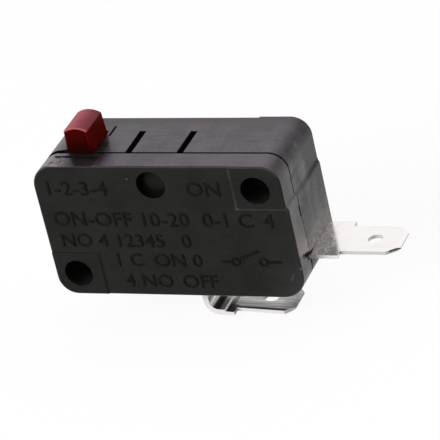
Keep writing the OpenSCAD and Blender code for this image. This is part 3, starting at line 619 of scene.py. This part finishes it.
bm = bmesh.new()
for first, last in SIGN_BARS:
    run = Vector((last[0] - first[0], 0, last[1] - first[1]))
    middle = Vector(((first[0] + last[0]) / 2, SIGN_MIDDLE_Y, (first[1] + last[1]) / 2))
    turn = Matrix.Rotation(-math.atan2(run.z, run.x), 4, "Y")
    size = Matrix.Diagonal((run.length, SIGN_THICK, BAR_W, 1))
    bmesh.ops.create_cube(bm, size=1.0, matrix=Matrix.Scale(MM, 4) @ Matrix.Translation(middle) @ turn @ size)
for x in RINGS_X:
    low, high = FACE_Y - SIGN_DEPTH, FACE_Y + SIGN_ROOT
    loop = [(RING_R, low), (RING_R + RING_W, low), (RING_R + RING_W, high), (RING_R, high)]
    corners = [bm.verts.new(Vector((x + r, y, LINE_Z)) * MM) for r, y in loop]
    edges = [bm.edges.new((corners[i], corners[i - 1])) for i in range(4)]
    bmesh.ops.spin(bm, geom=corners + edges, cent=Vector((x, 0, LINE_Z)) * MM, axis=(0, 1, 0),
                   angle=math.tau, steps=RING_STEPS, use_merge=True)
add_sign_piece("contact_sign", bm, sign_black)

# %% [markdown]
# ## The red plunger
# The plunger is a separate red moulding, and fingers and levers have rubbed its crown matt and pale. Its
# front is painted darker, most of all towards its foot, as painted shade, and its upper edges and the
# eased rim of its crown carry painted highlights. Two materials could share the solid, but one finish
# does both: the slope of the surface tells the crown and its eased rim from the flanks.

# %% Mould the plunger
RED, RED_PALE = (0.075, 0.0015, 0.0012), (0.110, 0.002, 0.0018)
RED_FOOT_SHADE, RED_FRONT_SHADE, RED_EDGE_HIGHLIGHT = (0.008, 0.0014, 0.001), (0.010, 0.0014, 0.001), (0.210, 0.005, 0.006)
CROWN_RIGHT, CROWN_LEFT, RIM_HIGHLIGHT = (0.215, 0.052, 0.064), (0.390, 0.112, 0.130), (0.36, 0.115, 0.120)
FOOT_SHADE_FADE, EDGE_HIGHLIGHT_RISE, CROWN_FADE = (10.2, 8.0), (8.2, 9.2), (-7.7, -10.4)
CROWN_SLOPE, RIM_SLOPE = (0.72, 0.84), (0.25, 0.5)


def moulded_red(name):
    material, start, place = new_finish(name)
    clouds = spot_noise(place, size=1.2, detail=4.0, roughness=0.6)
    grain = spot_noise(place, size=0.08)
    rounded = edge_normal(start, radius=0.10)
    normal = surface_normal(start)
    slope, front = part_of(normal, Z), part_of(normal, Y).rise(-0.5, -0.8)
    crown = slope.rise(*CROWN_SLOPE)
    rim = slope.rise(*RIM_SLOPE) * (1 - crown)
    # Painted highlight along the upper edges of the flanks.
    rubbed_and_highlit = edge_wear_and_highlight(edge_normal(start, radius=0.5)) * (1 - crown) * across(place, Z, *EDGE_HIGHLIGHT_RISE)
    colour = clouds.rise(0.3, 0.7).blend(RED, RED_PALE)
    # Painted shade on the front face: darker all over, and most of all towards its foot.
    colour = (across(place, Z, *FOOT_SHADE_FADE) * front * 0.8).blend(colour, RED_FOOT_SHADE)
    colour = (front * 0.55).blend(colour, RED_FRONT_SHADE)
    colour = (rubbed_and_highlit * 0.85).blend(colour, RED_EDGE_HIGHLIGHT)
    pale = across(place, X, *CROWN_FADE).blend(CROWN_RIGHT, CROWN_LEFT)
    colour = (crown * (0.65 + clouds * 0.45)).blend(colour, pale)
    # Painted highlight on the eased rim of the crown.
    colour = (rim * 0.9).blend(colour, RIM_HIGHLIGHT)
    close_finish(start, {
        "Base Color": colour, "Roughness": 0.34 + crown * 0.12 + grain * 0.08,
        "Specular IOR Level": 0.02, "Normal": bumped(grain, strength=0.2, depth=0.02, normal=rounded)})
    return material


dress("plunger", moulded_red("plunger_red"))

# %% [markdown]
# ## Tinned tabs and the metals inside
# The tabs are brass strip with a bright coat of tin, which mirrors the case beside it. Real tin isn't a
# perfect mirror. The sheared sides are rougher than the rolled faces, and the root of the side tab is
# mottled. Dark zones beside the bends, along the blade and at the tip of the side tab are painted dark
# reflections of the case and the floor. Most of these marks don't end at the edge of a face, so they
# are masks again, laid over the tin's own colour.

# %% Define the marks on the tabs
DULL_TIN, DARK_REFLECTION_TIN, SHEARED_TIN = (0.52, 0.51, 0.50), (0.03, 0.03, 0.03), (0.64, 0.64, 0.60)
PAINTED_DARK_REFLECTIONS = {
    "inside of the bend": ((2.05, -7.7, -11.6), (2.74, -1.0, -10.3), 0.86),
    "wide shoulder": ((3.42, -7.7, -11.9), (4.4, -6.2, -11.2), 0.86),
    "foot of the step": ((3.42, -6.2, -11.9), (4.0, -1.0, -11.2), 0.7),
    "front of the blade": ((4.4, -6.9, -12.2), (9.7, -6.4, -11.2), 0.92)}
BLADE_DOWN, BLADE_FROM, BLADE_TIP = (-9.5, -10.5), (3.5, 4.2), (8.2, 10.4)
ROOT_FROM, ROOT_TO, NARROW_FROM = (13.2, 13.8), (16.7, 15.8), (17.2, 17.5)
TIP_FROM, TIP_UPPER = (22.4, 22.6), (-4.42, -4.3)


def tab_marks(place, normal, cut, rolled, tone):
    """The tin's tone with the tabs' marks, painted dark reflections among them, and the masks of the dull
    blade and the mottled root.
    """
    upward = part_of(normal, Z).rise(0.3, 0.7)
    blade = across(place, Z, *BLADE_DOWN) * across(place, X, *BLADE_FROM)
    dark_reflection = sum(within(place, low, high, soft=0.08) * depth for low, high, depth in PAINTED_DARK_REFLECTIONS.values())
    tip = part_of(normal, Y).rise(-0.4, -0.6) * across(place, X, *TIP_FROM) * across(place, Z, *TIP_UPPER)
    root = across(place, X, *ROOT_FROM) * across(place, X, *ROOT_TO) * upward
    tone = (blade * (1 - cut) * rolled.rise(0.3, 0.62)).blend(tone, DULL_TIN)
    # Painted dark reflections of the case in the boxes beside the bends and along the blade.
    tone = (dark_reflection * upward).blend(tone, DARK_REFLECTION_TIN)
    # Painted dark reflection towards the tip of the blade.
    tone = (blade * upward * across(place, X, *BLADE_TIP) * 0.5).blend(tone, DARK_REFLECTION_TIN)
    tone = (cut * across(place, X, *NARROW_FROM) * 0.9).blend(tone, SHEARED_TIN)
    # Painted dark reflection of the floor on the front chamfer at the side tab's tip.
    tone = (tip * 0.9).blend(tone, DARK_REFLECTION_TIN)
    mottled = root * spot_noise(place, size=0.35, detail=4.0, roughness=0.7).rise(0.36, 0.68)
    return tone, blade, mottled


print("marks on the tabs:", ", ".join(PAINTED_DARK_REFLECTIONS))

# %% [markdown]
# Rolling leaves fine lines along every strip, and a plated or polished coat flows in soft waves. The
# springs and contacts inside share this recipe in other colours. Only the tin has the tabs' marks, and
# only its sheared sides lose their shine.

# %% Finish the metals
def bright_metal(name, colour, tarnish, gloss, lines, waves, sheared=None):
    material, start, place = new_finish(name)
    rolled = spot_noise(stretched(place, (30, 1, 1)), size=0.22, detail=3.0, roughness=0.6)
    soft = spot_noise(place, size=1.6)
    stain = spot_noise(place, size=0.9, detail=5.0, roughness=0.65).rise(0.52, 0.78)
    rounded = edge_normal(start, radius=0.03)
    normal = surface_normal(start)
    facing = part_of(normal, Y)
    cut = facing.maths("ABSOLUTE", facing).rise(0.5, 0.85)
    tone = (stain * 0.35 * (1 - cut) + rolled.rise(0.5, 0.75) * lines * 0.3).blend(colour, tarnish)
    metallic, roughness = 1.0, gloss + rolled * 0.08 + stain * 0.06
    if sheared:
        tone, blade, mottled = tab_marks(place, normal, cut, rolled, tone)
        metallic = 1 - (cut * 2 + mottled * 0.44) * sheared
        roughness = roughness + (cut + mottled * 0.34) * sheared + blade * 0.16
    bump = bumped(rolled * lines + soft * waves, strength=0.5, depth=0.01, normal=rounded)
    close_finish(start, {"Base Color": tone, "Metallic": metallic, "Roughness": roughness, "Normal": bump})
    return material


tin = bright_metal("bright_tin", (0.92, 0.89, 0.88), (0.70, 0.67, 0.65),
                   gloss=0.12, lines=0.5, waves=1.0, sheared=0.45)
silver = bright_metal("contact_silver", (0.88, 0.87, 0.84), (0.55, 0.50, 0.44),
                      gloss=0.18, lines=0.4, waves=1.0)
brass = bright_metal("stop_brass", (0.78, 0.58, 0.30), (0.45, 0.32, 0.18),
                     gloss=0.22, lines=0.5, waves=1.0)
steel = bright_metal("spring_steel", (0.56, 0.55, 0.53), (0.36, 0.34, 0.32),
                     gloss=0.25, lines=0.6, waves=0.8)
copper = bright_metal("spring_copper", (0.80, 0.48, 0.30), (0.42, 0.24, 0.15),
                      gloss=0.20, lines=0.6, waves=0.8)
for node, metal in (("common_terminal", tin), ("normally_open_terminal", tin), ("fixed_contact", silver),
                    ("moving_contact", silver), ("rest_stop", brass), ("actuating_lever", steel),
                    ("tension_spring", steel), ("contact_arm", copper)):
    dress(node, metal)

# %% [markdown]
# ## The end
# The signs must not make the switch larger than its solids. The last line prints how many solids are
# dressed.

# %% Count the dressed solids
print(f"{len(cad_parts)} solids dressed")
